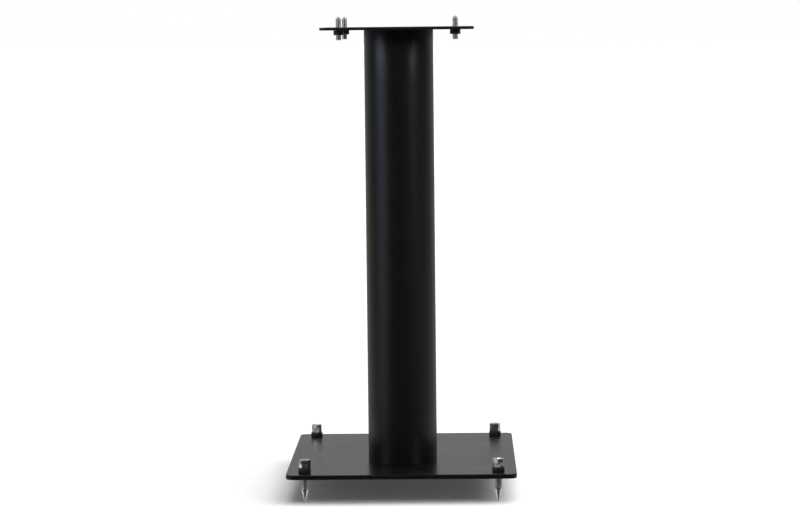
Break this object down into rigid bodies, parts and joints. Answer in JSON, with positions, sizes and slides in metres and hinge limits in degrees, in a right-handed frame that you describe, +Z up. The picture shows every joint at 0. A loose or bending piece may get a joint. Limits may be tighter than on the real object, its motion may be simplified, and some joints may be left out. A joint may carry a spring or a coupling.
{
  "type": "bookshelf speaker stand",
  "caption": "Single-column stand for a bookshelf speaker: flat steel base on adjustable floor spikes, round column, thin top plate with adjustable pointed studs.",
  "frame": {"origin": "on the floor under the middle of the base plate, level with the spike tips", "axes": "+Z up along the column, -Y towards the front, which is the side of the base that the column stands nearer to, +X to the right seen from the front"},
  "size_m": [0.25, 0.3, 0.5255],
  "materials": {
    "satin_black": "fine satin black powder coat",
    "plain_steel": "bare turned steel",
    "black_oxide": "black oxide, oiled",
    "bright_plating": "bright nickel plating"
  },
  "bodies": {
    "stand": {"base_plate": "satin_black", "top_plate": "satin_black", "column_tube": "satin_black", "lower_end_disc": "plain_steel", "upper_end_disc": "plain_steel", "base_screw_1": "black_oxide", "base_screw_2": "black_oxide", "base_screw_3": "black_oxide", "base_screw_4": "black_oxide", "top_screw_1": "black_oxide", "top_screw_2": "black_oxide", "top_screw_3": "black_oxide", "top_screw_4": "black_oxide"},
    "spike_nut_front_left": {"spike_lock_nut_front_left": "black_oxide"},
    "spike_front_left": {"floor_spike_front_left": "bright_plating"},
    "spike_nut_front_right": {"spike_lock_nut_front_right": "black_oxide"},
    "spike_front_right": {"floor_spike_front_right": "bright_plating"},
    "spike_nut_back_left": {"spike_lock_nut_back_left": "black_oxide"},
    "spike_back_left": {"floor_spike_back_left": "bright_plating"},
    "spike_nut_back_right": {"spike_lock_nut_back_right": "black_oxide"},
    "spike_back_right": {"floor_spike_back_right": "bright_plating"},
    "stud_nut_front_left": {"stud_lock_nut_front_left": "black_oxide"},
    "stud_front_left": {"speaker_stud_front_left": "bright_plating"},
    "stud_nut_front_right": {"stud_lock_nut_front_right": "black_oxide"},
    "stud_front_right": {"speaker_stud_front_right": "bright_plating"},
    "stud_nut_back_left": {"stud_lock_nut_back_left": "black_oxide"},
    "stud_back_left": {"speaker_stud_back_left": "bright_plating"},
    "stud_nut_back_right": {"stud_lock_nut_back_right": "black_oxide"},
    "stud_back_right": {"speaker_stud_back_right": "bright_plating"}
  },
  "joints": [
    {"name": "spike_turn_front_left", "type": "hinge", "parent": "stand", "child": "spike_nut_front_left", "pos_m": [-0.105, -0.13, 0.0356], "axis": [0, 0, 1], "range_deg": [0, 3456]},
    {"name": "spike_lift_front_left", "type": "slide", "parent": "spike_nut_front_left", "child": "spike_front_left", "axis": [0, 0, 1], "range_m": [0, 0.01201]},
    {"name": "spike_turn_front_right", "type": "hinge", "parent": "stand", "child": "spike_nut_front_right", "pos_m": [0.105, -0.13, 0.0356], "axis": [0, 0, 1], "range_deg": [0, 3456]},
    {"name": "spike_lift_front_right", "type": "slide", "parent": "spike_nut_front_right", "child": "spike_front_right", "axis": [0, 0, 1], "range_m": [0, 0.01201]},
    {"name": "spike_turn_back_left", "type": "hinge", "parent": "stand", "child": "spike_nut_back_left", "pos_m": [-0.105, 0.13, 0.0356], "axis": [0, 0, 1], "range_deg": [0, 3456]},
    {"name": "spike_lift_back_left", "type": "slide", "parent": "spike_nut_back_left", "child": "spike_back_left", "axis": [0, 0, 1], "range_m": [0, 0.01201]},
    {"name": "spike_turn_back_right", "type": "hinge", "parent": "stand", "child": "spike_nut_back_right", "pos_m": [0.105, 0.13, 0.0356], "axis": [0, 0, 1], "range_deg": [0, 3456]},
    {"name": "spike_lift_back_right", "type": "slide", "parent": "spike_nut_back_right", "child": "spike_back_right", "axis": [0, 0, 1], "range_m": [0, 0.01201]},
    {"name": "stud_turn_front_left", "type": "hinge", "parent": "stand", "child": "stud_nut_front_left", "pos_m": [-0.0625, -0.13, 0.5084], "axis": [0, 0, 1], "range_deg": [-2880, 1800]},
    {"name": "stud_lift_front_left", "type": "slide", "parent": "stud_nut_front_left", "child": "stud_front_left", "axis": [0, 0, 1], "range_m": [-0.00801, 0.00501]},
    {"name": "stud_turn_front_right", "type": "hinge", "parent": "stand", "child": "stud_nut_front_right", "pos_m": [0.0625, -0.13, 0.5084], "axis": [0, 0, 1], "range_deg": [-2880, 1800]},
    {"name": "stud_lift_front_right", "type": "slide", "parent": "stud_nut_front_right", "child": "stud_front_right", "axis": [0, 0, 1], "range_m": [-0.00801, 0.00501]},
    {"name": "stud_turn_back_left", "type": "hinge", "parent": "stand", "child": "stud_nut_back_left", "pos_m": [-0.0625, 0.03, 0.5084], "axis": [0, 0, 1], "range_deg": [-2880, 1800]},
    {"name": "stud_lift_back_left", "type": "slide", "parent": "stud_nut_back_left", "child": "stud_back_left", "axis": [0, 0, 1], "range_m": [-0.00801, 0.00501]},
    {"name": "stud_turn_back_right", "type": "hinge", "parent": "stand", "child": "stud_nut_back_right", "pos_m": [0.0625, 0.03, 0.5084], "axis": [0, 0, 1], "range_deg": [-2880, 1800]},
    {"name": "stud_lift_back_right", "type": "slide", "parent": "stud_nut_back_right", "child": "stud_back_right", "axis": [0, 0, 1], "range_m": [-0.00801, 0.00501]}
  ],
  "couplings": [
    {"joint": "spike_lift_front_left", "follows": "spike_turn_front_left", "m_per_rad": 0.00019894},
    {"joint": "spike_lift_front_right", "follows": "spike_turn_front_right", "m_per_rad": 0.00019894},
    {"joint": "spike_lift_back_left", "follows": "spike_turn_back_left", "m_per_rad": 0.00019894},
    {"joint": "spike_lift_back_right", "follows": "spike_turn_back_right", "m_per_rad": 0.00019894},
    {"joint": "stud_lift_front_left", "follows": "stud_turn_front_left", "m_per_rad": 0.00015915},
    {"joint": "stud_lift_front_right", "follows": "stud_turn_front_right", "m_per_rad": 0.00015915},
    {"joint": "stud_lift_back_left", "follows": "stud_turn_back_left", "m_per_rad": 0.00015915},
    {"joint": "stud_lift_back_right", "follows": "stud_turn_back_right", "m_per_rad": 0.00015915}
  ]
}
